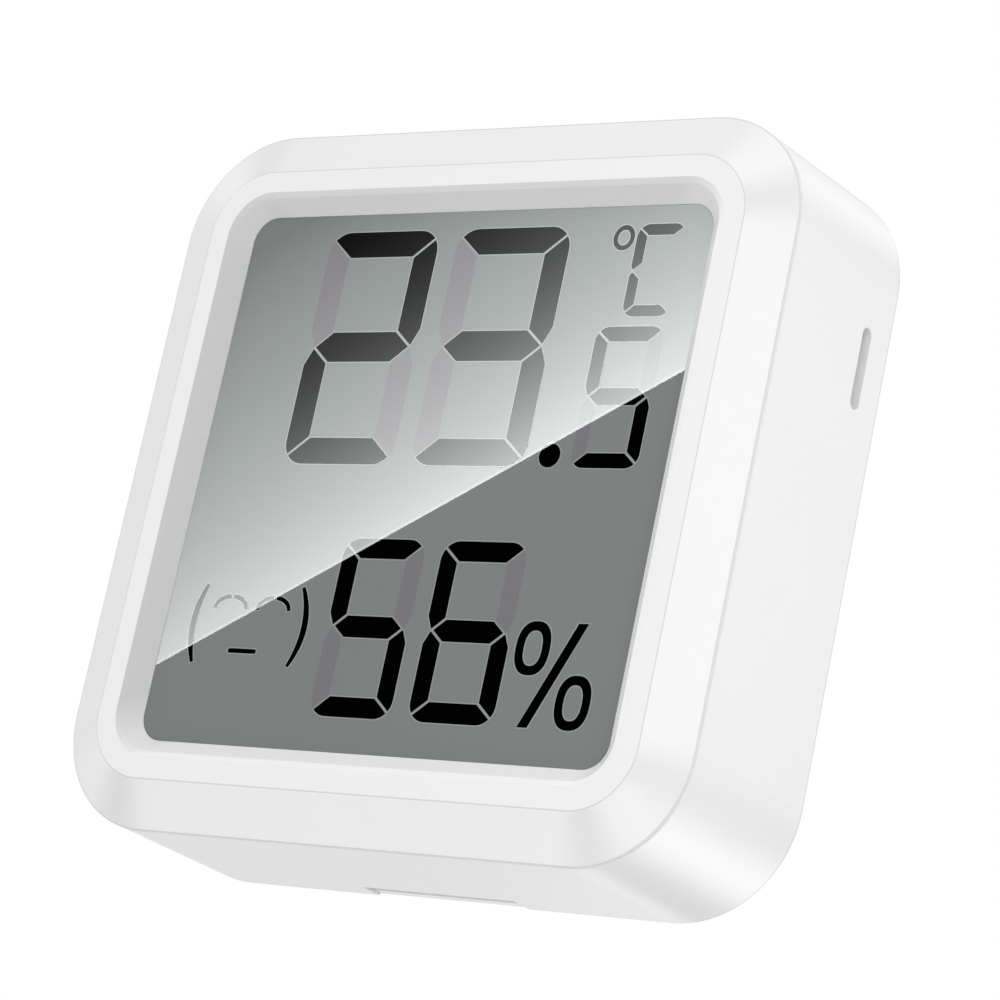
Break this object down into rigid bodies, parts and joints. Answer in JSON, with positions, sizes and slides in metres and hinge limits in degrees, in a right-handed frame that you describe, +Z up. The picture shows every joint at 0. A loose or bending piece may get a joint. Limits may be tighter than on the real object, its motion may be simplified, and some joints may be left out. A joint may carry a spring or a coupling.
{
  "type": "temperature humidity sensor",
  "caption": "Small square room temperature and humidity sensor with a bevelled bezel, a reflective liquid-crystal display, a side air slot and a pull-off back cover over a coin cell.",
  "frame": {"origin": "under the middle of the case, at the lowest edge of its bottom wall (bottom centre of the bounding box)", "axes": "+X to the right of the display, +Y from the display to the back cover, +Z up"},
  "size_m": [0.043, 0.0124, 0.043],
  "materials": {
    "white_plastic": "fine spark-eroded grain, low sheen",
    "gasket_foam": "thin closed-cell foam",
    "polariser_film": "hard coated",
    "display_glass": "polished",
    "reflector_film": "satin",
    "holder_plastic": "moulded",
    "striped_rubber": "matte",
    "green_board": "solder mask over glass-fibre board",
    "chip_epoxy": "moulded epoxy",
    "crystal_can": "satin",
    "capacitor_ceramic": "fired ceramic with tinned ends",
    "grey_foam": "closed-cell foam",
    "screw_steel": "zinc plated",
    "contact_nickel": "nickel plated",
    "cell_steel": "satin",
    "gasket_polymer": "moulded",
    "cell_filling": "pressed powder"
  },
  "bodies": {
    "case": {"front_bezel": "white_plastic", "main_housing": "white_plastic", "display_gasket": "gasket_foam", "front_polariser": "polariser_film", "lcd_front_glass": "display_glass", "lcd_rear_glass": "display_glass", "rear_reflector": "reflector_film", "lcd_holder": "holder_plastic", "upper_contact_strip": "striped_rubber", "lower_contact_strip": "striped_rubber", "main_board": "green_board", "radio_chip": "chip_epoxy", "display_driver": "chip_epoxy", "board_crystal": "crystal_can", "board_capacitors": "capacitor_ceramic", "humidity_sensor": "chip_epoxy", "sensor_seal": "grey_foam", "board_screws": "screw_steel", "negative_contact": "contact_nickel", "positive_contact": "contact_nickel", "cell_can": "cell_steel", "cell_cap": "cell_steel", "cell_gasket": "gasket_polymer", "cell_filling": "cell_filling"},
    "cover": {"back_cover": "white_plastic"}
  },
  "joints": [
    {"name": "back_cover_pull", "type": "slide", "parent": "case", "child": "cover", "axis": [0, 1, 0], "range_m": [0, 0.015]}
  ]
}
